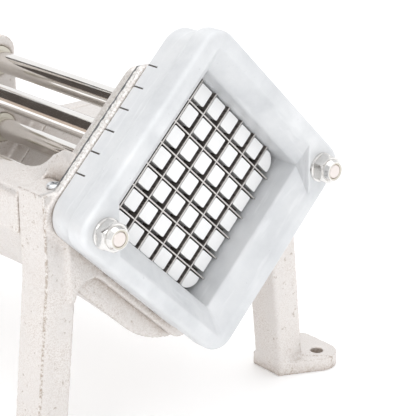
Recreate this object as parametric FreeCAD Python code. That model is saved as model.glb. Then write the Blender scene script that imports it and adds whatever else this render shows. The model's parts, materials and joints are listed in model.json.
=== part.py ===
import FreeCAD, Part
import math
import os
from FreeCAD import Vector

# Lever press that pushes a vegetable through a square grid of blades set on its corner.
# Shapes are drawn about the blade axis: X to the right, Y from the window's front edge to the rear,
# Z up from the blade axis. save() moves them to the frame whose origin is the middle of the footprint.

ROOT2 = math.sqrt(2.0)
GAP = 0.1                      # play left between a screw or pin and a plain hole around it
RUNNING = 0.05                 # radial play of a sliding or turning fit

# blade grid
PITCH = 12.7
CELLS = 7
WINDOW_HALF = PITCH * CELLS / ROOT2      # half diagonal of the window
BLADE_THICK = 0.7
BLADE_DEPTH = 7.0
SLOT_THICK = 0.8
SLOT_DEPTH = 7.5

# blade holder
RIM_Y = -10.0                  # front face
STEP_Y = 3.0                   # where the front plate steps in to the rear body
HOLDER_Y = 20.0                # rear face, against the front frame
PLATE_HALF = 89.0
BODY_HALF = 86.4
BEVEL_HALF = 77.0              # outer edge of the bevel round the window
PAD_X = 62.5                   # inner wall of the flat pads under the nuts
STUD_X = 71.0
STUD_R = 4.0
STUD_END = 38.0                # the stud stops inside the leg
WASHER_R = 7.9
WASHER_THICK = 1.6
NUT_FLATS = 14.0               # across the flats
NUT_HIGH = 6.0                 # hexagon part
NUT_FRONT = -20.5              # front of the collar, the foremost point of the machine
COLLAR_FRONT_R = 5.2
COLLAR_REAR_R = 6.1
LOCK_RING_R = 4.7
LOCK_RING_DEPTH = 2.4
SCREW_R = 2.5                  # machine screws of the trough, pads and pusher

# front frame
FLANGE_Y = 26.0
FLANGE_HALF = 88.0
FLANGE_LOW = 91.5              # the same for the part under the knee
FLANGE_TOP = 64.5
LEG_FRONT = 22.0               # front and rear faces of the front legs
LEG_Y = 44.0
LEG_PAD_Z = 12.0
LEG_INNER = 64.0
LEG_WIDTH = 19.5
KNEE_Z = -27.0                 # where the front legs start to lean out
PAD_SCREW_Y = 30.2
LEG_SPLAY = 12.3               # how far a leg leans out over its height
AXIS_HEIGHT = 139.5            # blade axis over the bench
FOOT_THICK = 8.5
FOOT_HOLE_X = 106.0
FOOT_HOLE_R = 3.5
FOOT_R = 12.0                  # rounded end of a foot, about its hole
FOOT_FRONT_Y = 22.0            # holes of the front and rear feet
FOOT_REAR_Y = 365.0
WEB_R = 9.5
WEB_X = 67.5                   # leg's inner face at the web

# trough
TROUGH_END = 205.0
HULL_X = 84.0
HULL_SUM = 107.5               # |X| + |Z| on the sloping outer faces
HULL_WAIST = 101.0             # the same at the middle of the length
HULL_R = 46.0
CREASE_Z = -13.0               # lower edge of the upright sides
TURN_X = 66.0                  # where the steep flank turns into the 45 degree face
LEDGE_Z = 9.0
CHANNEL_X = 59.5
LIP_X = 58.5                   # inner face of the lip that meets the flange
RIM_FOOT_X = 75.0              # where the lip's hollow outer side ends on the ledge
CHANNEL_SUM = 66.0             # |X| + |Z| on the sloping inner faces
DIP_Z = -15.0                  # rim height along the loading bay

# rear frame
GUIDE_FRONT = 218.0
GUIDE_REAR = 240.0
GUIDE_X = 33.5
GUIDE_TOP = 37.0
CHEEK_IN = 41.5
CHEEK_OUT = 51.5
CHEEK_TOP = -8.0
CHEEK_BOTTOM = -40.0
REAR_LEG_Y0 = 343.0
REAR_LEG_Y1 = 367.0
BOSS_R = 13.0

# ram
ROD_R = 6.5
ROD_X = 21.5
ROD_Z = 21.5
PEG = 9.0
PEG_CORNER = 0.8
PEG_TIP_Y = 13.4
PEG_RISE = 1.0                 # the pegs sit this much high in the grid
BLOCK_Y = 38.0
BLOCK_END = 48.0
PLATE_END = 57.0
BLOCK_SIDE = 86.0
BLOCK_CORNER = 9.0
PLATE_SIDE = 82.0
ROD_FRONT = 51.0
CROSS_Y0 = 268.0
CROSS_Y1 = 292.0
CROSS_IN = 8.0
CROSS_OUT = 30.5
CROSS_Z = 31.0
THREAD_R = 4.0

# lever and swing links
PIVOT_Y = 280.0                # lever pin at rest
STROKE = 150.0
TILT = 32.0                    # lever lean at both ends of the stroke
LINK = STROKE / 4.0 / math.sin(math.radians(TILT))
ANCHOR_Y = PIVOT_Y + STROKE / 2.0
PIN_R = 5.0
BUSH_R = 7.5
LINK_PIN_R = 4.0
EYE_R = 6.0
LEVER_THICK = 14.0
LEVER_WIDTH = 22.0
LEVER_TOP = 118.0
LINK_IN = 32.0
LINK_OUT = 38.0

# the frame that the files are written in
FRONT_Y = -(FOOT_REAR_Y + FOOT_R + NUT_FRONT) / 2.0


def save(shape, node):
    moved = shape.copy()
    moved.translate(Vector(0, FRONT_Y, AXIS_HEIGHT))
    moved.exportStep("parts/" + node + ".step")
    print(node, round(moved.Volume), "valid" if moved.isValid() else "INVALID", len(moved.Solids))


def box(x0, x1, y0, y1, z0, z1):
    return Part.makeBox(x1 - x0, y1 - y0, z1 - z0, Vector(x0, y0, z0))


def rod_y(x, z, y0, y1, r):
    return Part.makeCylinder(r, y1 - y0, Vector(x, y0, z), Vector(0, 1, 0))


def rod_x(y, z, x0, x1, r):
    return Part.makeCylinder(r, x1 - x0, Vector(x0, y, z), Vector(1, 0, 0))


def rod_z(x, y, z0, z1, r):
    return Part.makeCylinder(r, z1 - z0, Vector(x, y, z0), Vector(0, 0, 1))


def prism_y(points, y0, y1):
    """Extrude an outline of (x, z) points from y0 to y1."""
    loop = [Vector(x, y0, z) for x, z in points]
    return Part.Face(Part.makePolygon(loop + loop[:1])).extrude(Vector(0, y1 - y0, 0))


def prism_x(points, x0, x1):
    """Extrude an outline of (y, z) points from x0 to x1."""
    loop = [Vector(x0, y, z) for y, z in points]
    return Part.Face(Part.makePolygon(loop + loop[:1])).extrude(Vector(x1 - x0, 0, 0))


def prism_z(points, z0, z1):
    """Extrude an outline of (x, y) points from z0 to z1."""
    loop = [Vector(x, y, z0) for x, y in points]
    return Part.Face(Part.makePolygon(loop + loop[:1])).extrude(Vector(0, 0, z1 - z0))


def runs_along(edge, axis):
    if len(edge.Vertexes) != 2 or not isinstance(edge.Curve, Part.Line):
        return False
    span = edge.Vertexes[1].Point - edge.Vertexes[0].Point
    return abs(span.dot(axis)) > 0.999 * span.Length


def diamond(half, corner_r, y0, y1):
    """A square prism along Y, set on its corner, with rounded corners."""
    side = half * ROOT2
    square = box(-side / 2, side / 2, y0, y1, -side / 2, side / 2)
    if corner_r > 0:
        edges = [e for e in square.Edges if runs_along(e, Vector(0, 1, 0))]
        square = square.makeFillet(corner_r, edges)
    square.rotate(Vector(0, 0, 0), Vector(0, 1, 0), 45)
    return square


def edges_at(shape, y):
    """The edges that lie wholly in the plane at y."""
    return [e for e in shape.Edges if abs(e.BoundBox.YMin - y) < 1e-6 and e.BoundBox.YLength < 1e-6]


def mirror_x(shape):
    return shape.mirror(Vector(0, 0, 0), Vector(1, 0, 0))


def both_sides(shape):
    return shape.fuse(mirror_x(shape))


def hexagon_y(across_flats, x, z, y0, y1):
    r = across_flats / math.sqrt(3.0)
    angles = [math.radians(60 * i + 30) for i in range(6)]
    return prism_y([(x + r * math.cos(a), z + r * math.sin(a)) for a in angles], y0, y1)


def blade_offsets():
    return [PITCH * (i - (CELLS - 2) / 2.0) for i in range(CELLS - 1)]


def turned(shape, degrees):
    shape.rotate(Vector(0, 0, 0), Vector(0, 1, 0), degrees)
    return shape


# ---- blade holder and blades ----

def bevelled_recess():
    """The square recess that narrows from the rim to the window, cut short at the nut pads."""
    outer = diamond(BEVEL_HALF, 0, RIM_Y, RIM_Y + 0.01).Faces
    front = [f for f in outer if abs(f.CenterOfMass.y - RIM_Y) < 1e-6][0].OuterWire
    rear_solid = diamond(WINDOW_HALF, 0, 0, 0.01).Faces
    rear = [f for f in rear_solid if abs(f.CenterOfMass.y) < 1e-6][0].OuterWire
    funnel = Part.makeLoft([front, rear], True, True)
    return funnel.common(box(-PAD_X, PAD_X, RIM_Y - 1, 1, -90, 90))


def holder_plate():
    plate = diamond(PLATE_HALF, 12.0, RIM_Y, STEP_Y)
    return plate.makeFillet(2.5, edges_at(plate, RIM_Y))


def make_holder():
    body = diamond(BODY_HALF, 14.0, STEP_Y - 1.0, HOLDER_Y)
    holder = holder_plate().fuse(body)
    holder = holder.cut(bevelled_recess())
    window = diamond(WINDOW_HALF, 1.5, -1.0, HOLDER_Y + 1.0)
    holder = holder.cut(window.common(box(-PAD_X, PAD_X, -2, HOLDER_Y + 2, -90, 90)))
    for offset in blade_offsets():
        low = offset - SLOT_THICK / 2
        slot = box(-90, 90, HOLDER_Y - SLOT_DEPTH, HOLDER_Y + 1, low, low + SLOT_THICK)
        holder = holder.cut(turned(slot.copy(), 45)).cut(turned(slot.copy(), -45))
    for x in (-STUD_X, STUD_X):
        holder = holder.cut(rod_y(x, 0, RIM_Y - 1, HOLDER_Y + 1, STUD_R + GAP))
    save(holder.removeSplitter(), "blade_holder")


def make_blades():
    half_length = BODY_HALF / ROOT2 - 0.6
    middle_y = HOLDER_Y - BLADE_DEPTH / 2
    front_y = HOLDER_Y - BLADE_DEPTH
    notch_half = BLADE_THICK / 2 + 0.05
    for letter, angle, notch in (("a", 45, (front_y - 1, middle_y)), ("b", -45, (middle_y, HOLDER_Y + 1))):
        for number, offset in enumerate(blade_offsets(), 1):
            blade = box(-half_length, half_length, front_y, HOLDER_Y, -BLADE_THICK / 2, BLADE_THICK / 2)
            for cross in blade_offsets():
                blade = blade.cut(box(cross - notch_half, cross + notch_half, notch[0], notch[1], -2, 2))
            blade.translate(Vector(0, 0, offset))
            save(turned(blade, angle), "blade_" + letter + "_" + str(number))


def make_holder_fasteners():
    washer_y = RIM_Y - WASHER_THICK
    for side, x in (("left", -STUD_X), ("right", STUD_X)):
        stud = rod_y(x, 0, NUT_FRONT + 0.1, STUD_END, STUD_R)
        save(stud.makeChamfer(0.7, edges_at(stud, NUT_FRONT + 0.1)), "holder_stud_" + side)
        washer = rod_y(x, 0, washer_y, RIM_Y, WASHER_R)
        washer = washer.cut(rod_y(x, 0, washer_y - 1, RIM_Y + 1, STUD_R + 0.2))
        rim = [e for e in edges_at(washer, washer_y) if e.BoundBox.XLength > 2 * STUD_R + 1]
        save(washer.makeChamfer(0.5, rim), "nut_washer_" + side)
        save(lock_nut(x, washer_y - NUT_HIGH, washer_y), "lock_nut_" + side)
        ring = rod_y(x, 0, NUT_FRONT + 0.2, NUT_FRONT + LOCK_RING_DEPTH, LOCK_RING_R)
        save(ring.cut(rod_y(x, 0, NUT_FRONT, NUT_FRONT + 3, STUD_R)), "lock_ring_" + side)


def lock_nut(x, hex_y, base_y):
    """A hexagon nut with a round collar that holds a plastic locking ring."""
    corner = NUT_FLATS / math.sqrt(3.0)
    bevel = 4.2
    body = hexagon_y(NUT_FLATS, x, 0, hex_y, base_y)
    cone = Part.makeCone(corner - 1.2, corner + 3.0, bevel, Vector(x, hex_y, 0), Vector(0, 1, 0))
    skirt = rod_y(x, 0, hex_y + bevel, base_y, corner + 1.0)
    length = hex_y - NUT_FRONT + 0.2
    collar = Part.makeCone(COLLAR_FRONT_R, COLLAR_REAR_R, length, Vector(x, NUT_FRONT, 0), Vector(0, 1, 0))
    nut = body.common(cone.fuse(skirt)).fuse(collar)
    nut = nut.cut(rod_y(x, 0, NUT_FRONT - 1, base_y + 1, STUD_R))
    nut = nut.cut(rod_y(x, 0, NUT_FRONT - 1, NUT_FRONT + LOCK_RING_DEPTH, LOCK_RING_R))
    return nut.removeSplitter()


# ---- front frame ----

def leg(inner_top, top_z, knee_z, inner_bottom, y0, y1):
    """A leg that is upright down to knee_z and leans out below it."""
    inner = [(inner_top, top_z), (inner_top, knee_z), (inner_bottom, -AXIS_HEIGHT)]
    outer = [(x + LEG_WIDTH, z) for x, z in reversed(inner)]
    post = prism_y(inner + outer, y0, y1)
    long_edges = [e for e in post.Edges if e.BoundBox.ZMin < -AXIS_HEIGHT + 1 and e.BoundBox.ZLength > 60]
    return post.makeFillet(2.5, long_edges)


def foot(inner_x, leg_y0, leg_y1, hole_y, forward):
    """A flat lug that reaches out beside the leg. forward is -1 at the front feet and 1 at the rear."""
    near_y = leg_y0 if forward < 0 else leg_y1
    far_y = (leg_y1 if forward < 0 else leg_y0) - forward * 2.0
    start_x = inner_x + 3.0
    across = FOOT_HOLE_X - start_x
    past = forward * (hole_y - near_y)
    slope = math.asin(FOOT_R / math.hypot(across, past)) + math.atan2(past, across)
    outer_x = FOOT_HOLE_X + FOOT_R
    tip_y = near_y + forward * (outer_x - start_x) * math.tan(slope)
    outline = [(inner_x, near_y - forward * 3.0), (start_x, near_y), (outer_x, tip_y), (outer_x, far_y),
               (inner_x + LEG_WIDTH + 3.0, far_y - forward * 4.0), (inner_x, far_y)]
    lug = prism_z(outline, -AXIS_HEIGHT, -AXIS_HEIGHT + FOOT_THICK)
    for corner_y, radius in ((tip_y, FOOT_R), (far_y, 7.0)):
        corner = Vector(outer_x, corner_y, -AXIS_HEIGHT)
        edges = [e for e in lug.Edges if runs_along(e, Vector(0, 0, 1))
                 and min((v.Point - corner).Length for v in e.Vertexes) < 1e-3]
        lug = lug.makeFillet(radius, edges)
    return lug.cut(rod_z(FOOT_HOLE_X, hole_y, -AXIS_HEIGHT - 1, -AXIS_HEIGHT + FOOT_THICK + 1, FOOT_HOLE_R))


def leg_web():
    """The rounded inside corner between a front leg and the flange."""
    corner = (-WEB_X, WEB_X - FLANGE_LOW)
    reach = WEB_R / math.tan(math.radians(22.5))
    away = WEB_R / math.sin(math.radians(22.5))
    on_leg = (corner[0] - 1.0, corner[1] - reach)
    on_flange = (corner[0] + reach / ROOT2, corner[1] - reach / ROOT2)
    centre_x = corner[0] + away * math.sin(math.radians(22.5))
    centre = (centre_x, corner[1] - away * math.cos(math.radians(22.5)))
    over = [(corner[0] - 4.0, corner[1] + 8.0), (corner[0] + 8.0, corner[1] + 4.0)]
    outline = [over[0], (corner[0] - 4.0, on_leg[1]), on_leg, centre, on_flange, over[1]]
    web = prism_y(outline, HOLDER_Y, FLANGE_Y)
    return web.cut(rod_y(centre[0], centre[1], HOLDER_Y - 1, FLANGE_Y + 1, WEB_R))


def flange_plate():
    plate = diamond(FLANGE_HALF, 10.0, HOLDER_Y, FLANGE_Y)
    low = diamond(FLANGE_LOW, 10.0, HOLDER_Y, FLANGE_Y)
    plate = plate.fuse(low.cut(box(-100, 100, HOLDER_Y - 1, FLANGE_Y + 1, WEB_X - FLANGE_LOW, 100)))
    plate = plate.cut(box(-60, 60, HOLDER_Y - 1, FLANGE_Y + 1, FLANGE_TOP, 120))
    return plate.cut(diamond(WINDOW_HALF + 1.5, 6.0, HOLDER_Y - 1, FLANGE_Y + 1))


def make_front_frame():
    post = mirror_x(leg(LEG_INNER, LEG_PAD_Z, KNEE_Z, LEG_INNER + LEG_SPLAY, LEG_FRONT, LEG_Y))
    lug = mirror_x(foot(LEG_INNER + LEG_SPLAY, LEG_FRONT, LEG_Y, FOOT_FRONT_Y, -1))
    left = post.fuse(lug).fuse(leg_web())
    left = left.cut(diamond(WINDOW_HALF + 1.5, 6.0, HOLDER_Y - 1, LEG_Y + 1))
    frame = both_sides(left).fuse(flange_plate())
    for x in (-STUD_X, STUD_X):
        frame = frame.cut(rod_y(x, 0, HOLDER_Y - 1, STUD_END, STUD_R + GAP))
        frame = frame.cut(rod_z(x, PAD_SCREW_Y, 0, LEG_PAD_Z + 1, SCREW_R + GAP))
    frame = frame.cut(front_screw_holes())
    save(frame.removeSplitter(), "front_frame")


def make_set_screws():
    """Two cross-head screws in the leg pads that bear on the studs."""
    screws = []
    for x in (-STUD_X, STUD_X):
        head_z = LEG_PAD_Z + 1.8
        head = rod_z(x, PAD_SCREW_Y, LEG_PAD_Z, head_z, 4.0)
        top = [e for e in head.Edges if abs(e.BoundBox.ZMin - head_z) < 1e-6 and e.BoundBox.XLength > 7]
        head = head.makeFillet(1.2, top)
        screw = head.fuse(rod_z(x, PAD_SCREW_Y, STUD_R, LEG_PAD_Z, SCREW_R))
        for width, depth in ((5.0, 0.9), (0.9, 5.0)):
            y0 = PAD_SCREW_Y - depth / 2
            cross = box(x - width / 2, x + width / 2, y0, y0 + depth, LEG_PAD_Z + 0.9, LEG_PAD_Z + 3)
            screw = screw.cut(cross)
        screws.append(screw)
    save(Part.makeCompound(screws), "stud_set_screws")


# ---- trough ----

def screw_places():
    """Where screws pass through both end plates into the trough, as (x, z)."""
    return [(-45.5, -33.5), (-17.0, -62.0), (17.0, -62.0), (45.5, -33.5)]


def front_screw_holes():
    holes = []
    for x, z in screw_places():
        holes.append(rod_y(x, z, HOLDER_Y - 1, FLANGE_Y + 1, SCREW_R + GAP))
        holes.append(Part.makeCone(4.7, SCREW_R, 3.0, Vector(x, HOLDER_Y, z), Vector(0, 1, 0)))
    return Part.makeCompound(holes)


def hull_section(y, reach):
    centre_z = -(reach - HULL_R * ROOT2)
    t = HULL_R / ROOT2
    corners = [(-HULL_X, LEDGE_Z), (-HULL_X, CREASE_Z), (-TURN_X, TURN_X - reach), (-t, centre_z - t)]
    left = [Vector(x, y, z) for x, z in corners]
    right = [Vector(-x, y, z) for x, z in reversed(corners)]
    arc = Part.Arc(left[-1], Vector(0, y, centre_z - HULL_R), right[0]).toShape()
    lines = [Part.makeLine(a, b) for a, b in zip(left, left[1:])]
    rest = [Part.makeLine(a, b) for a, b in zip(right, right[1:] + left[:1])]
    return Part.Wire(lines + [arc] + rest)


def channel(y0, y1):
    """The open V that the vegetable lies in."""
    low = CHANNEL_X - CHANNEL_SUM
    left = [(-CHANNEL_X, 60), (-CHANNEL_X, low), (0, -CHANNEL_SUM)]
    shape = prism_y(left + [(CHANNEL_X, low), (CHANNEL_X, 60)], y0, y1)
    bottom = [e for e in shape.Edges if runs_along(e, Vector(0, 1, 0)) and e.BoundBox.ZMax < 5 - CHANNEL_SUM]
    return shape.makeFillet(10.0, bottom)


def loading_dip():
    """What is cut off both rims so that the vegetable can be laid in."""
    start, end = 88.0, 126.0
    steps = 12
    curve = []
    for i in range(steps + 1):
        part = i / steps
        blend = part * part * (3 - 2 * part)
        curve.append(Vector(-100, start + (end - start) * part, LEDGE_Z + (DIP_Z - LEDGE_Z) * blend))
    spline = Part.BSplineCurve()
    spline.interpolate(curve)
    far = TROUGH_END + 1
    corners = [curve[-1], Vector(-100, far, DIP_Z), Vector(-100, far, 60), Vector(-100, start, 60), curve[0]]
    lines = [Part.makeLine(a, b) for a, b in zip(corners, corners[1:])]
    return Part.Face(Part.Wire([spline.toShape()] + lines)).extrude(Vector(200, 0, 0))


def gusset():
    """The lip that sweeps up from the left ledge to the flange, hollow on its outer side."""
    heights = [(FLANGE_Y, 33.0), (34.0, 28.6), (40.0, 25.7), (46.0, 22.4), (52.0, 17.2),
               (58.0, 13.6), (65.0, 11.2), (74.0, 9.6), (84.0, LEDGE_Z + 0.1)]
    sections = []
    for y, top in heights:
        rise = top - LEDGE_Z
        outline = [(-LIP_X, LEDGE_Z - 6.0), (-LIP_X, top), (-LIP_X - 2.5, top - 0.05 * rise)]
        outline += [(-65.0, LEDGE_Z + 0.42 * rise), (-69.5, LEDGE_Z + 0.13 * rise)]
        outline += [(-RIM_FOOT_X, LEDGE_Z), (-RIM_FOOT_X, LEDGE_Z - 6.0)]
        points = [Vector(x, y, z) for x, z in outline]
        sections.append(Part.makePolygon(points + points[:1]))
    lip = Part.makeLoft(sections, True, True)
    inside = diamond(FLANGE_HALF - 1.0, 10.0, FLANGE_Y, LEG_Y).fuse(box(-100, 0, LEG_Y, 90, -20, 60))
    return lip.common(inside)


def make_trough():
    middle = (FLANGE_Y + TROUGH_END) / 2
    quarter = (TROUGH_END - FLANGE_Y) / 4
    slim = HULL_SUM - (HULL_SUM - HULL_WAIST) * 0.75
    sections = [hull_section(FLANGE_Y, HULL_SUM), hull_section(middle - quarter, slim),
                hull_section(middle, HULL_WAIST), hull_section(middle + quarter, slim),
                hull_section(TROUGH_END, HULL_SUM)]
    hull = Part.makeLoft(sections, True, False)
    ledge = [e for e in hull.Edges if e.Length > 150 and abs(e.BoundBox.ZMin - LEDGE_Z) < 0.5]
    hull = hull.makeFillet(4.0, ledge)
    hull = hull.cut(channel(FLANGE_Y - 1, TROUGH_END + 1)).cut(loading_dip())
    hull = hull.fuse(both_sides(gusset()))
    clear = box(-100, 0.2 - LEG_INNER, FLANGE_Y - 1, LEG_Y + 0.2, -100, 60)
    hull = hull.cut(clear).cut(mirror_x(clear))
    for x, z in screw_places():
        hull = hull.cut(rod_y(x, z, FLANGE_Y - 1, FLANGE_Y + 15, SCREW_R + GAP))
        hull = hull.cut(rod_y(x, z, TROUGH_END - 15, TROUGH_END + 1, SCREW_R + GAP))
    save(hull.removeSplitter(), "trough")


def make_trough_screws():
    front, rear = [], []
    for x, z in screw_places():
        cone = Part.makeCone(4.6, SCREW_R, 2.9, Vector(x, HOLDER_Y + 0.1, z), Vector(0, 1, 0))
        front.append(cone.fuse(rod_y(x, z, HOLDER_Y + 0.1, FLANGE_Y + 13, SCREW_R)))
        head = hexagon_y(8.0, x, z, GUIDE_FRONT, GUIDE_FRONT + 3.5)
        rear.append(head.fuse(rod_y(x, z, TROUGH_END - 13, GUIDE_FRONT, SCREW_R)))
    save(Part.makeCompound(front), "trough_front_screws")
    save(Part.makeCompound(rear), "trough_rear_screws")


# ---- rear frame ----

def rear_bulkhead():
    """The plate that carries the trough's rear end, open where the channel runs."""
    section = Part.Face(hull_section(TROUGH_END, HULL_SUM))
    plate = section.extrude(Vector(0, GUIDE_FRONT - TROUGH_END, 0))
    plate = plate.cut(box(-100, 100, TROUGH_END - 1, GUIDE_FRONT + 1, DIP_Z, 100))
    return plate.cut(channel(TROUGH_END - 1, GUIDE_FRONT + 1))


def guide_block():
    block = box(-GUIDE_X, GUIDE_X, GUIDE_FRONT, GUIDE_REAR, CHEEK_BOTTOM - 32, GUIDE_TOP)
    corners = [e for e in block.Edges if runs_along(e, Vector(0, 1, 0)) and e.BoundBox.ZMin > 30]
    block = block.makeFillet(10.0, corners)
    shoulder = box(-CHEEK_OUT, CHEEK_OUT, GUIDE_FRONT, GUIDE_REAR, CHEEK_BOTTOM, CHEEK_TOP)
    block = block.fuse(shoulder)
    past = GUIDE_REAR + 1
    wedge = [(GUIDE_REAR - 9, GUIDE_TOP + 1), (past, GUIDE_TOP - 10), (past, GUIDE_TOP + 1)]
    return block.cut(prism_x(wedge, -11, 11))


def cheek():
    """The right-hand side plate that carries a swing link's pivot."""
    outline = [(GUIDE_REAR - 1, CHEEK_BOTTOM), (REAR_LEG_Y1, CHEEK_BOTTOM), (ANCHOR_Y + BOSS_R, 0),
               (ANCHOR_Y - BOSS_R, 0), (ANCHOR_Y - 45, CHEEK_TOP), (GUIDE_REAR - 1, CHEEK_TOP)]
    plate = prism_x(outline, CHEEK_IN, CHEEK_OUT)
    return plate.fuse(rod_x(ANCHOR_Y, 0, CHEEK_IN, CHEEK_OUT, BOSS_R))


def rear_side():
    top_z = CHEEK_BOTTOM + 10.0
    post = leg(CHEEK_IN, top_z, CHEEK_BOTTOM, LEG_INNER + LEG_SPLAY, REAR_LEG_Y0, REAR_LEG_Y1)
    lug = foot(LEG_INNER + LEG_SPLAY, REAR_LEG_Y0, REAR_LEG_Y1, FOOT_REAR_Y, 1)
    return cheek().fuse(post).fuse(lug)


def make_rear_frame():
    beam = box(-68, 68, REAR_LEG_Y0 + 4, REAR_LEG_Y1 - 4, -100, -86)
    frame = both_sides(rear_side()).fuse(beam).fuse(guide_block()).fuse(rear_bulkhead())
    for x in (-ROD_X, ROD_X):
        for z in (-ROD_Z, ROD_Z):
            frame = frame.cut(rod_y(x, z, GUIDE_FRONT - 1, GUIDE_REAR + 1, ROD_R + 2.5))
    for x, z in screw_places():
        frame = frame.cut(rod_y(x, z, TROUGH_END - 1, GUIDE_FRONT + 4, SCREW_R + GAP))
        frame = frame.cut(rod_y(x, z, GUIDE_FRONT, GUIDE_REAR + 30, 6.0))
    frame = frame.cut(rod_x(ANCHOR_Y, 0, -CHEEK_OUT - 1, CHEEK_OUT + 1, PIN_R))
    save(frame.removeSplitter(), "rear_frame")


def make_bushings():
    number = 0
    for z in (ROD_Z, -ROD_Z):
        for x in (-ROD_X, ROD_X):
            number += 1
            bushing = rod_y(x, z, GUIDE_FRONT, GUIDE_REAR, ROD_R + 2.5)
            bushing = bushing.cut(rod_y(x, z, GUIDE_FRONT - 1, GUIDE_REAR + 1, ROD_R + RUNNING))
            save(bushing, "rod_bushing_" + str(number))


def make_pivot_pins():
    for side, sign in (("left", -1), ("right", 1)):
        x0, x1 = sorted((sign * (LINK_IN + 0.4), sign * (CHEEK_OUT + 4)))
        pin = rod_x(ANCHOR_Y, 0, x0, x1, PIN_R)
        end = CHEEK_OUT + 5
        h0, h1 = sorted((sign * CHEEK_OUT, sign * end))
        head = rod_x(ANCHOR_Y, 0, h0, h1, PIN_R + 3.5)
        rim = [e for e in head.Edges if abs(abs(e.BoundBox.XMin) - end) < 1e-6 and e.BoundBox.XLength < 1e-6]
        save(pin.fuse(head.makeFillet(1.2, rim)).removeSplitter(), "link_pivot_pin_" + side)


# ---- ram ----

def peg(u, v):
    """One square peg before it is turned onto its corner. The grid's four outermost edges stay sharp."""
    shape = box(u - PEG / 2, u + PEG / 2, PEG_TIP_Y, BLOCK_Y, v - PEG / 2, v + PEG / 2)
    edges = [e for e in shape.Edges if runs_along(e, Vector(0, 1, 0))]
    end = PITCH * (CELLS - 1) / 2.0
    if abs(u) == end and abs(v) == end:
        edges = [e for e in edges if abs(e.Vertexes[0].X) < end or abs(e.Vertexes[0].Z) < end]
    return shape.makeFillet(PEG_CORNER, edges)


def make_pusher():
    outline = diamond(BLOCK_SIDE / ROOT2, BLOCK_CORNER, PEG_TIP_Y - 1, BLOCK_Y + 1)
    pegs = []
    for i in range(CELLS):
        for j in range(CELLS):
            u = PITCH * (i - (CELLS - 1) / 2.0)
            v = PITCH * (j - (CELLS - 1) / 2.0)
            pegs += turned(peg(u, v), 45).common(outline).Solids
    for shape in pegs:
        shape.translate(Vector(0, 0, PEG_RISE))
    save(Part.makeCompound(pegs), "pusher_pegs")
    block = diamond(BLOCK_SIDE / ROOT2, BLOCK_CORNER, BLOCK_Y, BLOCK_END)
    for x, z in pusher_screw_places():
        block = block.cut(rod_y(x, z, BLOCK_Y + 2, BLOCK_END + 1, SCREW_R + GAP))
    save(block, "pusher_block")


def pusher_screw_places():
    return [(0.0, 44.0), (44.0, 0.0), (0.0, -44.0), (-44.0, 0.0)]


def make_pusher_plate():
    plate = diamond(PLATE_SIDE / ROOT2, BLOCK_CORNER, BLOCK_END, PLATE_END)
    plate = plate.makeFillet(1.5, edges_at(plate, PLATE_END))
    screws = []
    for x, z in pusher_screw_places():
        plate = plate.cut(rod_y(x, z, BLOCK_END - 1, PLATE_END + 1, SCREW_R + GAP))
        head = rod_y(x, z, PLATE_END, PLATE_END + 3.2, 4.5)
        head = head.makeFillet(1.5, edges_at(head, PLATE_END + 3.2))
        screw = head.fuse(rod_y(x, z, BLOCK_Y + 3, PLATE_END, SCREW_R))
        screws.append(screw.cut(box(x - 5, x + 5, PLATE_END + 2.2, PLATE_END + 4, z - 0.6, z + 0.6)))
    for x in (-ROD_X, ROD_X):
        for z in (-ROD_Z, ROD_Z):
            plate = plate.cut(rod_y(x, z, ROD_FRONT, PLATE_END + 1, ROD_R))
    save(plate, "pusher_plate")
    save(Part.makeCompound(screws), "pusher_screws")


def make_rods():
    number = 0
    for z in (ROD_Z, -ROD_Z):
        for x in (-ROD_X, ROD_X):
            number += 1
            rod = rod_y(x, z, ROD_FRONT, CROSS_Y0 + 4, ROD_R)
            rod = rod.fuse(rod_y(x, z, CROSS_Y0 + 3, CROSS_Y1 + 8, THREAD_R))
            save(rod.removeSplitter(), "ram_rod_" + str(number))


def make_crossheads():
    nuts = []
    for side, sign in (("left", -1), ("right", 1)):
        x0, x1 = sorted((sign * CROSS_IN, sign * CROSS_OUT))
        block = box(x0, x1, CROSS_Y0, CROSS_Y1, -CROSS_Z, CROSS_Z)
        outer = [e for e in block.Edges if runs_along(e, Vector(1, 0, 0))]
        block = block.makeFillet(5.0, outer)
        for z in (-ROD_Z, ROD_Z):
            x = sign * ROD_X
            block = block.cut(rod_y(x, z, CROSS_Y0 - 1, CROSS_Y0 + 4, ROD_R))
            block = block.cut(rod_y(x, z, CROSS_Y0 - 1, CROSS_Y1 + 1, THREAD_R + GAP))
            nut = hexagon_y(13.0, x, z, CROSS_Y1, CROSS_Y1 + 6.5)
            nuts.append(nut.cut(rod_y(x, z, CROSS_Y1 - 1, CROSS_Y1 + 7, THREAD_R)))
        block = block.cut(rod_x(PIVOT_Y, 0, x0 - 1, x1 + 1, PIN_R + GAP))
        save(block, "crosshead_" + side)
    save(Part.makeCompound(nuts), "rod_nuts")


def make_lever_pin():
    """The plain pin through both crossheads and the lever, just inside the swing links."""
    pin = rod_x(PIVOT_Y, 0, -CROSS_OUT - 0.8, CROSS_OUT + 0.8, PIN_R)
    save(pin, "lever_pin")


# ---- lever and links; drawn upright about the lever pin, then leaned to the rest position ----

def leaned(shape, degrees, y):
    shape.rotate(Vector(0, y, 0), Vector(1, 0, 0), degrees)
    return shape


def lever_blank():
    half = LEVER_THICK / 2
    bar = box(-half, half, PIVOT_Y - LEVER_WIDTH / 2, PIVOT_Y + LEVER_WIDTH / 2, -LINK, LEVER_TOP)
    bar = bar.fuse(rod_x(PIVOT_Y, 0, -half, half, 15.0))
    return bar.fuse(rod_x(PIVOT_Y, -LINK, -half, half, 12.5))


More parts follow.
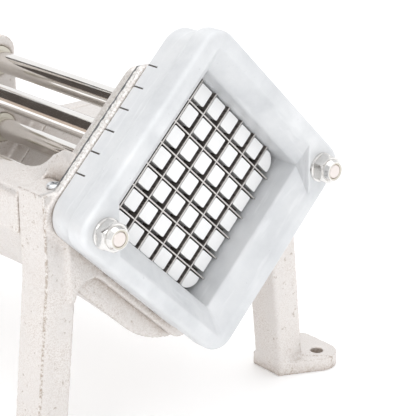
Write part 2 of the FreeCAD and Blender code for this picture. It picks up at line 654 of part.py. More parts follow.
def make_lever():
    half = LEVER_THICK / 2
    arm = lever_blank()
    arm = arm.cut(rod_x(PIVOT_Y, 0, -half - 1, half + 1, BUSH_R))
    arm = arm.cut(rod_x(PIVOT_Y, -LINK, -half - 1, half + 1, EYE_R))
    arm = arm.cut(rod_z(0, PIVOT_Y, LEVER_TOP - 20, LEVER_TOP + 1, 5.0))
    save(leaned(arm.removeSplitter(), TILT, PIVOT_Y), "lever_arm")
    bush = rod_x(PIVOT_Y, 0, -half - 0.5, half + 0.5, BUSH_R)
    bush = bush.cut(rod_x(PIVOT_Y, 0, -half - 1, half + 1, PIN_R + RUNNING))
    save(leaned(bush, TILT, PIVOT_Y), "lever_bushing")


def make_handle():
    lock_top = LEVER_TOP + 7.0
    grip_start, grip_end = LEVER_TOP + 92.0, LEVER_TOP + 212.0
    shaft = rod_z(0, PIVOT_Y, lock_top, grip_end - 4, 7.95)
    shaft = shaft.fuse(rod_z(0, PIVOT_Y, LEVER_TOP - 18, lock_top, 5.0))
    save(leaned(shaft.removeSplitter(), TILT, PIVOT_Y), "handle_shaft")
    r = 19.0 / math.sqrt(3.0)
    angles = [math.radians(60 * i) for i in range(6)]
    loop = [(r * math.cos(a), PIVOT_Y + r * math.sin(a)) for a in angles]
    nut = prism_z(loop, LEVER_TOP, lock_top).cut(rod_z(0, PIVOT_Y, LEVER_TOP - 1, lock_top + 1, 5.0))
    save(leaned(nut, TILT, PIVOT_Y), "handle_lock_nut")
    save(leaned(grip_solid(grip_start, grip_end), TILT, PIVOT_Y), "handle_grip")
    cap = rod_z(0, PIVOT_Y, grip_end - 4, grip_end, 7.9).fuse(rod_z(0, PIVOT_Y, grip_end, grip_end + 4, 12.5))
    cap = cap.removeSplitter()
    rim = [e for e in cap.Edges if abs(e.BoundBox.ZMin - grip_end - 4) < 1e-6 and e.BoundBox.ZLength < 1e-6]
    save(leaned(cap.makeFillet(2.5, rim), TILT, PIVOT_Y), "handle_end_cap")


def grip_solid(start, end):
    """A turned rubber sleeve with a swelling in the middle and a collar at its lower end."""
    middle = (start + end) / 2
    points = [Vector(12.5, PIVOT_Y, start + 8), Vector(14.2, PIVOT_Y, middle), Vector(12.5, PIVOT_Y, end)]
    curve = Part.BSplineCurve()
    curve.interpolate(points)
    bore, guard = 8.0, 15.0
    corners = [points[2], Vector(bore, PIVOT_Y, end), Vector(bore, PIVOT_Y, start),
               Vector(guard, PIVOT_Y, start), Vector(guard, PIVOT_Y, start + 6), points[0]]
    lines = [Part.makeLine(a, b) for a, b in zip(corners, corners[1:])]
    face = Part.Face(Part.Wire([curve.toShape()] + lines))
    return face.revolve(Vector(0, PIVOT_Y, 0), Vector(0, 0, 1), 360)


def make_links():
    for side, sign in (("left", -1), ("right", 1)):
        x0, x1 = sorted((sign * LINK_IN, sign * LINK_OUT))
        bar = box(x0, x1, ANCHOR_Y - 9, ANCHOR_Y + 9, -LINK, 0)
        bar = bar.fuse(rod_x(ANCHOR_Y, 0, x0, x1, 11.0)).fuse(rod_x(ANCHOR_Y, -LINK, x0, x1, 10.0))
        bar = bar.cut(rod_x(ANCHOR_Y, 0, x0 - 1, x1 + 1, PIN_R + RUNNING))
        bar = bar.cut(rod_x(ANCHOR_Y, -LINK, x0 - 1, x1 + 1, LINK_PIN_R + GAP))
        save(leaned(bar.removeSplitter(), -TILT, ANCHOR_Y), "swing_link_" + side)
    pin = rod_x(ANCHOR_Y, -LINK, -LINK_OUT - 2.6, LINK_OUT + 2.6, LINK_PIN_R)
    save(leaned(pin, -TILT, ANCHOR_Y), "link_pin")
    clips, spacers = [], []
    for sign in (-1, 1):
        x0, x1 = sorted((sign * LINK_OUT, sign * (LINK_OUT + 1.8)))
        clip = rod_x(ANCHOR_Y, -LINK, x0, x1, 7.0).cut(rod_x(ANCHOR_Y, -LINK, x0 - 1, x1 + 1, LINK_PIN_R))
        clips.append(leaned(clip, -TILT, ANCHOR_Y))
        x0, x1 = sorted((sign * (LEVER_THICK / 2 + 1.5), sign * LINK_IN))
        tube = rod_x(ANCHOR_Y, -LINK, x0, x1, 7.5).cut(rod_x(ANCHOR_Y, -LINK, x0 - 1, x1 + 1, LINK_PIN_R))
        spacers.append(leaned(tube, -TILT, ANCHOR_Y))
    save(Part.makeCompound(clips), "link_pin_clips")
    save(spacers[0], "link_spacer_left")
    save(spacers[1], "link_spacer_right")


def main():
    os.makedirs("parts", exist_ok=True)
    make_holder()
    make_blades()
    make_holder_fasteners()
    make_front_frame()
    make_set_screws()
    make_trough()
    make_trough_screws()
    make_rear_frame()
    make_bushings()
    make_pivot_pins()
    make_pusher()
    make_pusher_plate()
    make_rods()
    make_crossheads()
    make_lever_pin()
    make_lever()
    make_handle()
    make_links()


main()
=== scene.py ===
"""Looks of a lever dicer with a diamond-set blade grid: camera, studio, materials and detailed pieces."""
import json
import math

import bmesh
import bpy
from mathutils import Matrix, Vector


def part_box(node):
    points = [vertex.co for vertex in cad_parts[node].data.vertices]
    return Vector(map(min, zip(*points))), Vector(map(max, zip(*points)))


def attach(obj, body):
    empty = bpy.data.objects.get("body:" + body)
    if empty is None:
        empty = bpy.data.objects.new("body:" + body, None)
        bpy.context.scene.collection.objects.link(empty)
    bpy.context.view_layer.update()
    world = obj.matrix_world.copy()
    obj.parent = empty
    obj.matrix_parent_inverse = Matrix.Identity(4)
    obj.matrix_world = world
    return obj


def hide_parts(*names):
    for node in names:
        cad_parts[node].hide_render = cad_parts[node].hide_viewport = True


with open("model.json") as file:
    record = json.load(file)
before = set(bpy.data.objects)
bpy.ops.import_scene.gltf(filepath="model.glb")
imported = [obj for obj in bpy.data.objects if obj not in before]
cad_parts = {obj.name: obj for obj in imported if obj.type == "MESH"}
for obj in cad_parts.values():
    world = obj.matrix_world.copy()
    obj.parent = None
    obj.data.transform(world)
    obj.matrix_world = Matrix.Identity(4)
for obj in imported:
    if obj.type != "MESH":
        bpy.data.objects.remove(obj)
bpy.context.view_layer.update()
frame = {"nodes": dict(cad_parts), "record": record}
MM = 0.001
SLOTS = {part["node"]: part["material_slot"] for part in frame["record"]["subparts"]}
BODY_OF = {node: body for body, nodes in frame["record"]["behaviour"]["bodies"].items() for node in nodes}

# ---- places worked out from the frame ----
holder_lo, holder_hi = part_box("blade_holder")
AXIS_Z = (holder_lo.z + holder_hi.z) / 2  # height of the blade axis
WINDOW_Y = holder_lo.y + 10 * MM          # the window's front edge lies 10 mm behind the rim
WINDOW_CENTRE = Vector((0.0, WINDOW_Y, AXIS_Z))
CELL = 12.7 * MM                          # pitch of the blades
LEG_FRONT_Y = WINDOW_Y + 22 * MM
LEG_OUTER_X = 83.5 * MM                   # outer face of a front leg above its knee
KNEE_HEIGHT = AXIS_Z - 27 * MM
LEG_LEAN = 12.3 / 112.5                   # outward run of a front leg for each unit of drop
FLANGE_REAR_Y = WINDOW_Y + 26 * MM

# ---- camera ----
AZIMUTH, ELEVATION = -41.39, 20.86        # degrees
DISTANCE = 0.6785
LENS_MM, SENSOR_MM = 117.43, 36.0
SIDEWAYS, DOWN = 0.45 * MM, 7.67 * MM     # from the window's centre to the middle of the picture


def add_camera():
    """A long lens in front of the object's left, looking down on the blade window."""
    azimuth, elevation = math.radians(AZIMUTH), math.radians(ELEVATION)
    level = math.cos(elevation)
    back = Vector((math.sin(azimuth) * level, -math.cos(azimuth) * level, math.sin(elevation)))
    right = Vector((0, 0, 1)).cross(back).normalized()
    up = back.cross(right)
    data = bpy.data.cameras.new("camera")
    data.sensor_width = SENSOR_MM
    data.lens = LENS_MM
    data.clip_start = 0.05
    camera = bpy.data.objects.new("camera", data)
    camera.location = WINDOW_CENTRE + back * DISTANCE + right * SIDEWAYS - up * DOWN
    camera.rotation_euler = (math.pi / 2 - elevation, 0, azimuth)
    bpy.context.scene.collection.objects.link(camera)
    bpy.context.scene.camera = camera


# ---- materials ----
class Maker:
    """Builds one node material in short steps."""

    def __init__(self, name):
        self.material = bpy.data.materials.new(name)
        self.material.use_nodes = True
        self.tree = self.material.node_tree
        self.shader = self.tree.nodes["Principled BSDF"]
        self.place = self.tree.nodes.new("ShaderNodeTexCoord").outputs["Object"]

    def node(self, kind, **settings):
        made = self.tree.nodes.new(kind)
        for key, value in settings.items():
            setattr(made, key, value)
        return made

    def link(self, source, target):
        self.tree.links.new(source, target)

    def noise(self, scale, detail=4.0, rough=0.55, stretch=None):
        made = self.node("ShaderNodeTexNoise")
        made.inputs["Scale"].default_value = scale
        made.inputs["Detail"].default_value = detail
        made.inputs["Roughness"].default_value = rough
        source = self.place
        if stretch:
            mapping = self.node("ShaderNodeMapping")
            mapping.inputs["Scale"].default_value = stretch
            self.link(self.place, mapping.inputs["Vector"])
            source = mapping.outputs["Vector"]
        self.link(source, made.inputs["Vector"])
        return made.outputs["Fac"]

    def ramp(self, value, stops):
        """Greys or colours at the given positions, from a value."""
        made = self.node("ShaderNodeValToRGB")
        band = made.color_ramp
        while len(band.elements) < len(stops):
            band.elements.new(0.5)
        for element, (position, colour) in zip(band.elements, stops):
            element.position = position
            element.color = (*colour, 1.0) if isinstance(colour, tuple) else (colour, colour, colour, 1.0)
        self.link(value, made.inputs["Fac"])
        return made.outputs["Color"]

    def mix(self, factor, a, b):
        """Colour a where factor is 0 and b where it is 1."""
        made = self.node("ShaderNodeMix", data_type="RGBA")
        for socket, value in ((made.inputs["Factor"], factor), (made.inputs[6], a), (made.inputs[7], b)):
            if isinstance(value, (int, float)):
                socket.default_value = value
            elif isinstance(value, tuple):
                socket.default_value = (*value, 1.0)
            else:
                self.link(value, socket)
        return made.outputs[2]

    def math(self, operation, a, b):
        made = self.node("ShaderNodeMath", operation=operation)
        for socket, value in zip(made.inputs, (a, b)):
            if isinstance(value, (int, float)):
                socket.default_value = value
            else:
                self.link(value, socket)
        return made.outputs["Value"]

    def axis(self, name):
        """The X, Y or Z of the shaded point, in metres at rest."""
        made = self.node("ShaderNodeSeparateXYZ")
        self.link(self.place, made.inputs["Vector"])
        return made.outputs[name]

    def bump(self, height, strength, distance):
        """Adds a bump on top of those made before."""
        made = self.node("ShaderNodeBump")
        made.inputs["Strength"].default_value = strength
        made.inputs["Distance"].default_value = distance
        self.link(height, made.inputs["Height"])
        previous = self.shader.inputs["Normal"].links
        if previous:
            self.link(previous[0].from_socket, made.inputs["Normal"])
        self.link(made.outputs["Normal"], self.shader.inputs["Normal"])

    def finish(self, colour, metallic, roughness):
        for name, value in (("Base Color", colour), ("Metallic", metallic), ("Roughness", roughness)):
            socket = self.shader.inputs[name]
            if isinstance(value, tuple):
                socket.default_value = (*value, 1.0)
            elif isinstance(value, (int, float)):
                socket.default_value = value
            else:
                self.link(value, socket)
        return self.material


def step_up(m, value, start, end):
    """0 below start, 1 above end, with a straight ramp between them."""
    part = m.math("DIVIDE", m.math("SUBTRACT", value, start), end - start)
    return m.math("MINIMUM", m.math("MAXIMUM", part, 0.0), 1.0)


def leg_corner(m):
    """The line down the outer front corner of each front leg, which leans out below the knee."""
    lean = m.math("MULTIPLY", m.math("MAXIMUM", m.math("SUBTRACT", KNEE_HEIGHT, m.axis("Z")), 0.0), LEG_LEAN)
    out = m.math("SUBTRACT", m.math("ABSOLUTE", m.axis("X"), 0.0), m.math("ADD", lean, LEG_OUTER_X))
    back = m.math("SUBTRACT", m.axis("Y"), LEG_FRONT_Y)
    across = m.math("ABSOLUTE", m.math("ADD", out, back), 0.0)
    on_line = m.math("SUBTRACT", 1.0, step_up(m, across, 0.5 * MM, 1.5 * MM))
    near = m.math("SUBTRACT", 1.0, step_up(m, back, 2.5 * MM, 3.5 * MM))
    return m.math("MULTIPLY", m.math("MULTIPLY", on_line, near), 0.9)


def flange_rim(m, colour):
    """The flange's upper rim, with painted light: pale painted glints in front, and a dark painted reflection
    along its rear edge.
    """
    height = m.math("SUBTRACT", m.axis("Z"), AXIS_Z)
    reach = m.math("ADD", m.math("ABSOLUTE", m.axis("X"), 0.0), m.math("ABSOLUTE", height, 0.0))
    upper = m.math("MULTIPLY", step_up(m, reach, 85.5 * MM, 86.2 * MM), step_up(m, height, 10 * MM, 16 * MM))
    ragged = m.math("MULTIPLY", m.math("SUBTRACT", m.noise(420.0, 3.0, 0.6), 0.5), 2.2 * MM)
    depth = m.math("ADD", m.axis("Y"), ragged)
    rear = step_up(m, depth, FLANGE_REAR_Y - 2.3 * MM, FLANGE_REAR_Y - 1.7 * MM)
    thin = m.math("SUBTRACT", 1.0, step_up(m, m.axis("Y"), FLANGE_REAR_Y + 0.4 * MM, FLANGE_REAR_Y + 0.6 * MM))
    upper = m.math("MULTIPLY", upper, thin)
    # painted highlight: pale glints sprinkled over the rim
    painted_glint = m.ramp(m.noise(950.0, 2.0, 0.6), [(0.44, 0.0), (0.54, 0.85)])
    colour = m.mix(m.math("MULTIPLY", upper, painted_glint), colour, (0.98, 0.965, 0.94))
    # painted reflection: a dark grey band along the rim's rear edge, for the dark that its side face reflects
    return m.mix(m.math("MULTIPLY", upper, rear), colour, (0.125, 0.13, 0.135))


# The fourth argument scales the rust marks and the painted shade together.
def sand_casting(name, tint, metallic=0.45, rust_and_shade=1.0, frame_rust_and_painted_rim=False):
    """Nickel-plated sand casting: warm and sparkling, browner in its pits and worn edges, and darkened by
    painted shade in its hollows and where nearby parts shut it in.

    The frame option (its last argument) adds what only the frame castings show: painted glints and a painted
    dark reflection on the flange's rim, and the rust-marked line down the leg's corner.
    """
    m = Maker(name)
    grain = m.noise(1450.0, 2.0, 0.6)
    lumps = m.noise(330.0, 4.0, 0.6)
    swell = m.noise(55.0, 4.0, 0.5)
    geometry = m.node("ShaderNodeNewGeometry")
    # painted shade: concave places are made darker
    hollow = m.ramp(geometry.outputs["Pointiness"], [(0.40, 1.0), (0.485, 0.0)])
    ridge = m.ramp(geometry.outputs["Pointiness"], [(0.52, 0.0), (0.57, 1.0)])
    # painted shade: places shut in by nearby parts within 12 mm, such as under the holder's edge, are made
    # darker
    closed = m.node("ShaderNodeAmbientOcclusion", samples=8)
    closed.inputs["Distance"].default_value = 0.012
    sheltered = m.ramp(closed.outputs["AO"], [(0.40, 1.0), (0.80, 0.0)])
    warm = m.ramp(swell, [(0.3, tuple(0.93 * c for c in tint)), (0.7, tint)])
    speck = m.ramp(grain, [(0.38, 1.0), (0.56, 0.0)])
    patch = m.ramp(swell, [(0.35, 0.18), (0.65, 0.58)])
    colour = m.mix(m.math("MULTIPLY", speck, patch), warm, (0.52, 0.45, 0.40))
    pit = m.math("MULTIPLY", m.ramp(lumps, [(0.30, 1.0), (0.36, 0.0)]), 0.6 * rust_and_shade)
    colour = m.mix(pit, colour, (0.33, 0.26, 0.20))
    colour = m.mix(m.math("MULTIPLY", ridge, 0.6), colour, (0.93, 0.90, 0.87))
    coarse = m.ramp(m.noise(760.0, 2.0, 0.6), [(0.42, 1.0), (0.58, 0.0)])
    if frame_rust_and_painted_rim:
        # painted highlight and painted reflection on the flange's rim; the leg's corner line added below is
        # rust
        colour = flange_rim(m, colour)
        ridge = m.math("MAXIMUM", ridge, leg_corner(m))
    worn = m.math("MULTIPLY", ridge, coarse)
    colour = m.mix(m.math("MULTIPLY", worn, 0.8 * rust_and_shade), colour, (0.32, 0.24, 0.18))
    # painted shade: hollows and shut-in places are turned brown-grey, broken up by coarse noise
    painted_shade = m.math("MULTIPLY", m.math("MAXIMUM", hollow, sheltered), m.ramp(coarse, [(0.0, 0.42), (1.0, 1.0)]))
    colour = m.mix(m.math("MULTIPLY", painted_shade, 0.72 * rust_and_shade), colour, (0.37, 0.29, 0.225))
    m.bump(swell, 0.3, 0.0008)
    m.bump(lumps, 0.4, 0.0004)
    m.bump(grain, 0.75, 0.00028)
    return m.finish(colour, metallic, m.ramp(grain, [(0.3, 0.46), (0.7, 0.28)]))


def pale_casting(name):
    """Tumbled white-grey casting: matt, cloudy, with faint scratches, small pits and paler edges."""
    m = Maker(name)
    cloud = m.noise(42.0, 6.0, 0.6)
    drift = m.noise(16.0, 3.0, 0.5, (1.0, 1.0, 0.45))
    fine = m.noise(1500.0, 2.0, 0.5)
    geometry = m.node("ShaderNodeNewGeometry")
    ridge = m.ramp(geometry.outputs["Pointiness"], [(0.52, 0.0), (0.60, 1.0)])
    scratch = m.ramp(m.noise(260.0, 2.0, 0.5, (0.10, 1.0, 0.16)), [(0.60, 0.0), (0.68, 1.0)])
    pits = m.ramp(m.noise(330.0, 2.0, 0.6), [(0.24, 1.0), (0.28, 0.0)])
    greys = [(0.28, (0.58, 0.592, 0.605)), (0.5, (0.68, 0.69, 0.70)), (0.72, (0.76, 0.765, 0.77))]
    colour = m.ramp(cloud, greys)
    colour = m.mix(m.ramp(drift, [(0.4, 0.0), (0.65, 0.35)]), colour, (0.60, 0.612, 0.63))
    colour = m.mix(m.math("MULTIPLY", scratch, 0.16), colour, (0.97, 0.97, 0.98))
    colour = m.mix(m.math("MULTIPLY", ridge, 0.5), colour, (0.94, 0.945, 0.95))
    colour = m.mix(m.math("MULTIPLY", pits, 0.3), colour, (0.40, 0.40, 0.41))
    m.bump(cloud, 0.35, 0.0009)
    m.bump(drift, 0.3, 0.0015)
    m.bump(fine, 0.25, 0.0001)
    return m.finish(colour, 0.2, m.ramp(cloud, [(0.3, 0.55), (0.7, 0.40)]))


def polished(name, tint, roughness=0.06):
    """Plated bar: bright, with faint drawing lines and smudges."""
    m = Maker(name)
    lines = m.noise(700.0, 2.0, 0.5, (1.0, 0.02, 1.0))
    smudge = m.noise(60.0, 4.0, 0.6)
    m.bump(lines, 0.06, 0.00006)
    colour = m.ramp(smudge, [(0.3, tuple(0.95 * c for c in tint)), (0.7, tint)])
    return m.finish(colour, 1.0, m.ramp(smudge, [(0.3, roughness), (0.75, roughness + 0.09)]))


def blade_steel(name):
    """Rolled stainless strip with a bright ground front edge, and sides painted dark as shade in the narrow
    slots between the pegs.
    """
    m = Maker(name)
    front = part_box("blade_a_1")[0].y
    depth = m.math("SUBTRACT", m.axis("Y"), front)
    # painted shade: from about half a millimetre behind the front edge, the strip turns dark
    side = m.ramp(m.math("MULTIPLY", depth, 1.0 / 0.0010), [(0.05, 0.0), (0.55, 1.0)])
    streak = m.noise(600.0, 3.0, 0.6, (1.0, 0.08, 1.0))
    # the dark painted shade of the sides, with streaks
    body = m.ramp(streak, [(0.3, (0.11, 0.095, 0.088)), (0.7, (0.19, 0.17, 0.155))])
    colour = m.mix(side, (0.62, 0.59, 0.565), body)
    m.bump(streak, 0.15, 0.0001)
    return m.finish(colour, 0.35, m.ramp(streak, [(0.3, 0.22), (0.7, 0.36)]))


def moulded(name, tint, roughness=0.42, speck=0.03):
    """Moulded plastic with a faint skin texture."""
    m = Maker(name)
    skin = m.noise(850.0, 3.0, 0.6)
    cloud = m.noise(70.0, 3.0, 0.5)
    dark = tuple(max(0.0, c * (1 - speck) - speck * 0.3) for c in tint)
    colour = m.ramp(cloud, [(0.3, dark), (0.7, tint)])
    m.bump(skin, 0.2, 0.00012)
    return m.finish(colour, 0.0, m.ramp(skin, [(0.3, roughness - 0.06), (0.7, roughness + 0.08)]))


def plated(name, tint, roughness=0.2):
    """Zinc or nickel plate on a pressed or turned part."""
    m = Maker(name)
    mottle = m.noise(500.0, 4.0, 0.6)
    colour = m.ramp(mottle, [(0.3, tuple(0.86 * c for c in tint)), (0.7, tint)])
    m.bump(mottle, 0.18, 0.0001)
    return m.finish(colour, 1.0, m.ramp(mottle, [(0.3, roughness), (0.7, roughness + 0.14)]))


def make_materials():
    """One material for each material slot of the record."""
    return {
        "cast_body": sand_casting("cast_body", (0.755, 0.722, 0.697), frame_rust_and_painted_rim=True),
        "cast_ram": sand_casting("cast_ram", (0.85, 0.82, 0.79), 0.6, 0.5),
        "cast_lever": sand_casting("cast_lever", (0.84, 0.81, 0.78), 0.6, 0.5),
        "holder_casting": pale_casting("holder_casting"),
        "blade_steel": blade_steel("blade_steel"),
        "zinc_steel": plated("zinc_steel", (0.80, 0.82, 0.84), 0.24),
        "bright_plate": plated("bright_plate", (0.78, 0.765, 0.745), 0.08),
        "bushing": moulded("bushing", (0.70, 0.665, 0.58)),
        "rod_chrome": polished("rod_chrome", (0.86, 0.84, 0.81)),
        "pin_steel": polished("pin_steel", (0.76, 0.70, 0.67), 0.30),
        "pusher_plastic": moulded("pusher_plastic", (0.90, 0.90, 0.895), 0.45, 0.02),
        "grip_rubber": moulded("grip_rubber", (0.028, 0.028, 0.03), 0.5, 0.1),
    }


# ---- mesh helpers ----
def piece_from(mesh, name, node, materials):
    """Adds a mesh as the visible piece that stands for a CAD node."""
    made = bpy.data.objects.new(name, mesh)
    bpy.context.scene.collection.objects.link(made)
    slot = SLOTS[node]
    mesh.materials.clear()
    mesh.materials.append(materials[slot])
    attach(made, BODY_OF[node])
    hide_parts(node)
    return made


def shade(mesh, angle_deg):
    """Smooth shading with edges sharper than the angle kept crisp."""
    mesh.polygons.foreach_set("use_smooth", [True] * len(mesh.polygons))
    mesh.set_sharp_from_angle(angle=math.radians(angle_deg))


def baked(obj):
    """The object's mesh with its modifiers applied."""
    graph = bpy.context.evaluated_depsgraph_get()
    mesh = bpy.data.meshes.new_from_object(obj.evaluated_get(graph))
    obj.modifiers.clear()
    return mesh


def cast_piece(node, materials, voxel, melt, grain):
    """A casting with soft edges and an uneven skin, made from its CAD shape and kept inside it.

    voxel is the mesh size, melt the number of smoothing passes and grain the depth of the skin.
    """
    temp = bpy.data.objects.new("temp", frame["nodes"][node].data.copy())
    bpy.context.scene.collection.objects.link(temp)
    remesh = temp.modifiers.new("remesh", "REMESH")
    remesh.mode = "VOXEL"
    remesh.voxel_size = voxel
    smooth = temp.modifiers.new("smooth", "SMOOTH")
    smooth.factor = 0.5
    smooth.iterations = melt
    texture = bpy.data.textures.new("skin", "CLOUDS")
    texture.noise_scale = 0.0024
    texture.noise_depth = 2
    skin = temp.modifiers.new("skin", "DISPLACE")
    skin.texture = texture
    skin.texture_coords = "GLOBAL"
    skin.strength = grain
    skin.mid_level = 1.0
    mesh = baked(temp)
    bpy.data.objects.remove(temp)
    shade(mesh, 60.0)
    return piece_from(mesh, node + "_cast", node, materials)


# ---- blade holder ----
def quarter(half, side_r, top_r, clamp, side_steps=6, run_steps=10, top_steps=6):
    """Points of a rounded square on its corner, from its right corner to its top one, as (x, z) in mm.

    half is the half diagonal. The right corner is rounded by side_r, or cut off at x = clamp if that isn't 0.
    """
    points = []
    if clamp:
        start = (clamp, half - clamp)
        points += [(clamp, start[1] * i / side_steps) for i in range(side_steps + 1)]
    else:
        centre = half - side_r * math.sqrt(2)
        for i in range(side_steps + 1):
            a = math.radians(45.0 * i / side_steps)
            points.append((centre + side_r * math.cos(a), side_r * math.sin(a)))
        start = points[-1]
    centre = half - top_r * math.sqrt(2)
    arc = []
    for i in range(top_steps + 1):
        a = math.radians(45.0 + 45.0 * i / top_steps)
        arc.append((top_r * math.cos(a), centre + top_r * math.sin(a)))
    for i in range(1, run_steps):
        t = i / run_steps
        points.append((start[0] + (arc[0][0] - start[0]) * t, start[1] + (arc[0][1] - start[1]) * t))
    return points + arc


def ring(half, side_r, top_r, clamp):
    """The whole outline, from four mirrored quarters."""
    q = quarter(half, side_r, top_r, clamp)
    loop = q[:-1]
    loop += [(-x, z) for x, z in reversed(q)][:-1]
    loop += [(-x, -z) for x, z in q][:-1]
    loop += [(x, -z) for x, z in reversed(q)][:-1]
    return loop


def holder_rings():
    """Loops round the holder's wall, from the window's rear edge forward, outward over the front and back.

    Each row is half diagonal, side corner radius, top corner radius, clamp and y, in mm.
    """
    pad = 62.5                            # inner wall of the pads under the nuts
    window = [(62.86, 0, 0.8, pad, y) for y in (20.0, 12.4, 4.0, 1.0)]
    bevel = [(63.0, 0, 0.9, pad, 0.3), (63.5, 0, 1.0, pad, -0.4), (64.4, 0, 1.2, pad, -1.3),
             (70.0, 0, 2.0, pad, -5.2), (75.4, 0, 3.0, pad, -8.7), (76.4, 0, 3.2, pad + 0.1, -9.4),
             (77.3, 0, 3.4, pad + 0.5, -9.85), (78.4, 0, 3.6, pad + 1.3, -10.0)]
    plate = [(84.6, 7.5, 8.5, 0, -10.0), (86.2, 9.2, 10.0, 0, -9.85), (87.6, 10.5, 11.0, 0, -9.3),
             (88.6, 11.4, 11.8, 0, -8.2), (89.0, 12.0, 12.0, 0, -6.6), (89.0, 12.0, 12.0, 0, 1.2),
             (88.8, 12.0, 12.0, 0, 2.1), (88.2, 12.0, 12.0, 0, 2.8)]
    body = [(87.2, 12.4, 12.4, 0, 3.2), (86.7, 13.2, 13.2, 0, 3.7), (86.45, 14.0, 14.0, 0, 4.6),
            (86.4, 14.0, 14.0, 0, 12.4), (86.4, 14.0, 14.0, 0, 19.0), (86.1, 14.0, 14.0, 0, 19.7),
            (85.4, 13.6, 13.6, 0, 20.0), (74.0, 4.0, 4.0, 0, 20.0)]
    rows = window + bevel + plate + body
    return [(ring(half, side_r, top_r, clamp), y) for half, side_r, top_r, clamp, y in rows]


def holder_mesh():
    """The rings skinned into one closed wall."""
    rings = holder_rings()
    bm = bmesh.new()
    rows = [[bm.verts.new((x * MM, WINDOW_Y + y * MM, AXIS_Z + z * MM)) for x, z in loop] for loop, y in rings]
    count = len(rows[0])
    for a, b in zip(rows, rows[1:] + rows[:1]):
        for i in range(count):
            j = (i + 1) % count
            bm.faces.new((a[i], b[i], b[j], a[j]))
    bmesh.ops.recalc_face_normals(bm, faces=bm.faces)
    mesh = bpy.data.meshes.new("holder")
    bm.to_mesh(mesh)
    bm.free()
    return mesh


def cutter_mesh():
    """Thin plates where the blades are let into the holder's rear face, and a small hole at its left corner."""
    bm = bmesh.new()
    length, depth, thick = 136 * MM, 16 * MM, 0.9 * MM
    for turn in (45, -45):
        angle = math.radians(turn)
        for k in range(6):
            offset = CELL * (k - 2.5)
            for v in bmesh.ops.create_cube(bm, size=1.0)["verts"]:
                x, z = v.co.x * length, v.co.z * thick + offset
                v.co = Vector((x * math.cos(angle) + z * math.sin(angle),
                               v.co.y * depth + WINDOW_Y + 20.5 * MM,
                               z * math.cos(angle) - x * math.sin(angle) + AXIS_Z))
    aim = Matrix.Rotation(math.radians(45), 4, "Y")
    place = Matrix.Translation((-78 * MM, WINDOW_Y + 8 * MM, AXIS_Z - 9.4 * MM))
    hole_r = 1.5 * MM
    hole = bmesh.ops.create_cone(bm, cap_ends=True, segments=32, radius1=hole_r, radius2=hole_r, depth=7 * MM)
    bmesh.ops.transform(bm, matrix=place @ aim, verts=hole["verts"])
    mesh = bpy.data.meshes.new("slots")
    bm.to_mesh(mesh)
    bm.free()
    return mesh


def add_holder(materials):
    """The holder with the slots cut out of it."""
    body = bpy.data.objects.new("temp_holder", holder_mesh())
    slots = bpy.data.objects.new("temp_slots", cutter_mesh())
    for obj in (body, slots):
        bpy.context.scene.collection.objects.link(obj)
    cut = body.modifiers.new("cut", "BOOLEAN")
    cut.operation = "DIFFERENCE"
    cut.solver = "EXACT"
    cut.use_self = True
    cut.object = slots
    mesh = baked(body)
    for obj in (body, slots):
        bpy.data.objects.remove(obj)
    shade(mesh, 35.0)
    return piece_from(mesh, "blade_holder_casting", "blade_holder", materials)


# ---- rods ----
def lathe(name, profile, origin, direction, steps):
    """Turns (distance along the axis, radius) points in metres about a line, closed by its ends on the axis."""
    origin = Vector(origin)
    direction = Vector(direction).normalized()
    side = direction.orthogonal().normalized()
    other = direction.cross(side)
    turns = [2 * math.pi * i / steps for i in range(steps)]
    spokes = [side * math.cos(turn) + other * math.sin(turn) for turn in turns]
    bm = bmesh.new()
    rows = []
    for along, radius in profile:
        centre = origin + direction * along
        if radius < 1e-7:
            rows.append([bm.verts.new(centre)])
        else:
            rows.append([bm.verts.new(centre + spoke * radius) for spoke in spokes])
    for a, b in zip(rows, rows[1:]):
        for i in range(steps):
            j = (i + 1) % steps
            if len(a) == 1:
                bm.faces.new((a[0], b[i], b[j]))
            elif len(b) == 1:
                bm.faces.new((a[i], b[0], a[j]))
            else:
                bm.faces.new((a[i], b[i], b[j], a[j]))
    bmesh.ops.recalc_face_normals(bm, faces=bm.faces)
    mesh = bpy.data.meshes.new(name)
    bm.to_mesh(mesh)
    bm.free()
    shade(mesh, 30.0)
    return mesh


def rod_profile(radius, length):
    """A ground bar with a threaded rear end."""
    chamfer, thread_r, root_r, pitch, turns = 0.6 * MM, 4.0 * MM, 3.6 * MM, 1.25 * MM, 15
    shoulder = length - 28 * MM
    profile = [(0, 0), (0, radius - chamfer), (chamfer, radius), (shoulder - chamfer, radius),
               (shoulder, radius - chamfer), (shoulder, thread_r)]
    thread = length - turns * pitch - chamfer
    for i in range(turns):
        profile += [(thread + i * pitch, thread_r), (thread + (i + 0.5) * pitch, root_r)]
    return profile + [(length - chamfer, thread_r), (length, thread_r - chamfer), (length, 0)]


def add_rods(materials):
    for number in range(1, 5):
        node = "ram_rod_" + str(number)
        lo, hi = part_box(node)
        profile = rod_profile((hi.x - lo.x) / 2, hi.y - lo.y)
        front = ((lo.x + hi.x) / 2, lo.y, (lo.z + hi.z) / 2)
        piece_from(lathe(node, profile, front, (0, 1, 0), 96), node + "_bar", node, materials)


# ---- studio ----
def flat_material(name, colour, roughness=0.8):
    """A matt, nearly even surface for the studio."""
    m = Maker(name)
    tone = m.noise(3.0, 2.0)
    even = m.ramp(tone, [(0.3, tuple(0.985 * c for c in colour)), (0.7, colour)])
    return m.finish(even, 0.0, roughness)


def floor_material():
    """A white sweep, faintly lit from below so that it stays white under the object."""
    material = flat_material("floor_white", (0.99, 0.99, 0.99))
    shader = material.node_tree.nodes["Principled BSDF"]
    shader.inputs["Emission Color"].default_value = (1.0, 1.0, 1.0, 1.0)
    shader.inputs["Emission Strength"].default_value = 0.10
    return material


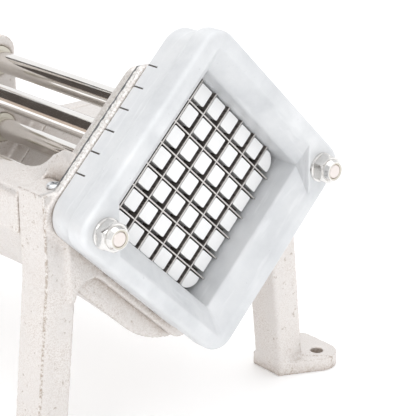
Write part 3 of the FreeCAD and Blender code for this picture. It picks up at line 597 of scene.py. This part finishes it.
def add_card(name, centre, size, rotation, material):
    """A card that only shows in reflections."""
    bpy.ops.mesh.primitive_plane_add(size=1.0, location=centre, rotation=rotation)
    card = bpy.context.object
    card.name = name
    card.scale = (size[0], size[1], 1.0)
    card.data.materials.append(material)
    card.visible_camera = False
    card.visible_shadow = False
    card.visible_diffuse = False


def add_light(name, place, size, energy):
    """A square soft light that points at the middle of the object."""
    data = bpy.data.lights.new(name, "AREA")
    data.shape = "SQUARE"
    data.size = size
    data.energy = energy
    light = bpy.data.objects.new(name, data)
    light.location = place
    towards = Vector((0, 0, 0.12)) - Vector(place)
    light.rotation_euler = towards.to_track_quat("-Z", "Y").to_euler()
    bpy.context.scene.collection.objects.link(light)


def add_flags():
    """Cards that give the plated bars and nuts their dark and warm bands."""
    dark = flat_material("flag_dark", (0.055, 0.045, 0.039), 1.0)
    warm = flat_material("flag_warm", (0.50, 0.41, 0.345), 1.0)
    upright = math.radians(90)
    add_card("flag_high", (-0.67, 1.0, 0.95), (1.30, 1.00), (upright, math.radians(-39), 0), dark)
    add_card("flag_left", (-0.60, 0.55, 0.16), (0.80, 0.26), (upright, 0, upright), warm)
    add_card("flag_front", (-0.36, -0.85, 0.42), (0.05, 0.9), (upright, 0, math.radians(-22)), dark)
    add_card("flag_side", (-0.85, -0.55, 0.30), (0.05, 0.9), (upright, 0, math.radians(-60)), dark)


def add_studio():
    bpy.ops.mesh.primitive_plane_add(size=12.0)
    floor = bpy.context.object
    floor.name = "floor"
    floor.data.materials.append(floor_material())
    world = bpy.data.worlds.new("studio")
    bpy.context.scene.world = world
    world.use_nodes = True
    backdrop = world.node_tree.nodes["Background"]
    backdrop.inputs["Color"].default_value = (0.985, 0.99, 1.0, 1.0)
    backdrop.inputs["Strength"].default_value = 1.06
    add_light("key", (-1.3, -1.1, 1.5), 1.4, 7.0)
    add_light("top", (0.2, 0.5, 1.9), 1.8, 10.0)
    add_flags()
    bpy.context.scene.view_settings.view_transform = "Standard"
    bpy.context.scene.view_settings.look = "None"


# ---- build ----
# node, mesh size, smoothing passes and depth of the skin
CASTINGS = (("front_frame", 0.8 * MM, 4, 0.45 * MM),
            ("trough", 1.1 * MM, 5, 0.3 * MM),
            ("rear_frame", 1.3 * MM, 4, 0.3 * MM))


def main():
    add_camera()
    add_studio()
    materials = make_materials()
    for node, obj in frame["nodes"].items():
        obj.data.materials.clear()
        obj.data.materials.append(materials[SLOTS[node]])
    add_holder(materials)
    add_rods(materials)
    for node, voxel, melt, grain in CASTINGS:
        cast_piece(node, materials, voxel, melt, grain)


main()
